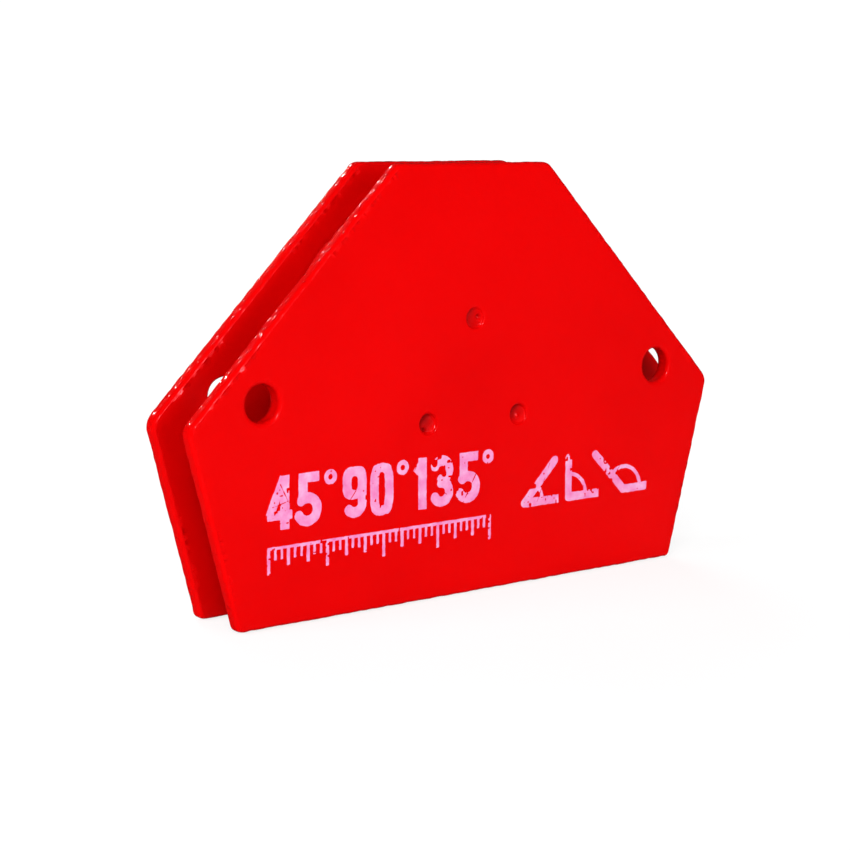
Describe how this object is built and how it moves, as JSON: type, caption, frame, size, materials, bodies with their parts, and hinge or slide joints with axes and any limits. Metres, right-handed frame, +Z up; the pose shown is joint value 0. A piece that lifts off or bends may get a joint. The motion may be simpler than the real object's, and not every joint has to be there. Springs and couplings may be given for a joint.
{
  "type": "welding magnet holder",
  "caption": "Flat six-sided magnetic holder that sets steel sheet or bar at 45, 75, 90 and other angles for tack welding; painted steel plates on a ring magnet.",
  "frame": {"origin": "middle of the base edges, at mid-depth between the two plates", "axes": "+X along the width to the right, -Y out of the front plate, +Z up from the base edges to the top edges"},
  "size_m": [0.095, 0.0116, 0.062],
  "materials": {
    "red_paint_on_steel": "gloss red stoved enamel, slightly uneven, thick on the rounded edges",
    "ferrite": "sintered ferrite, matt charcoal, red paint on the outer rim",
    "spacer_alloy": "plain drawn tube",
    "rivet_brass": "plain wire, ends painted over in red"
  },
  "bodies": {
    "root": {"front_plate": "red_paint_on_steel", "rear_plate": "red_paint_on_steel", "ring_magnet": "ferrite", "spacer_upper": "spacer_alloy", "spacer_lower_left": "spacer_alloy", "spacer_lower_right": "spacer_alloy", "rivet_upper": "rivet_brass", "rivet_lower_left": "rivet_brass", "rivet_lower_right": "rivet_brass"}
  },
  "joints": []
}
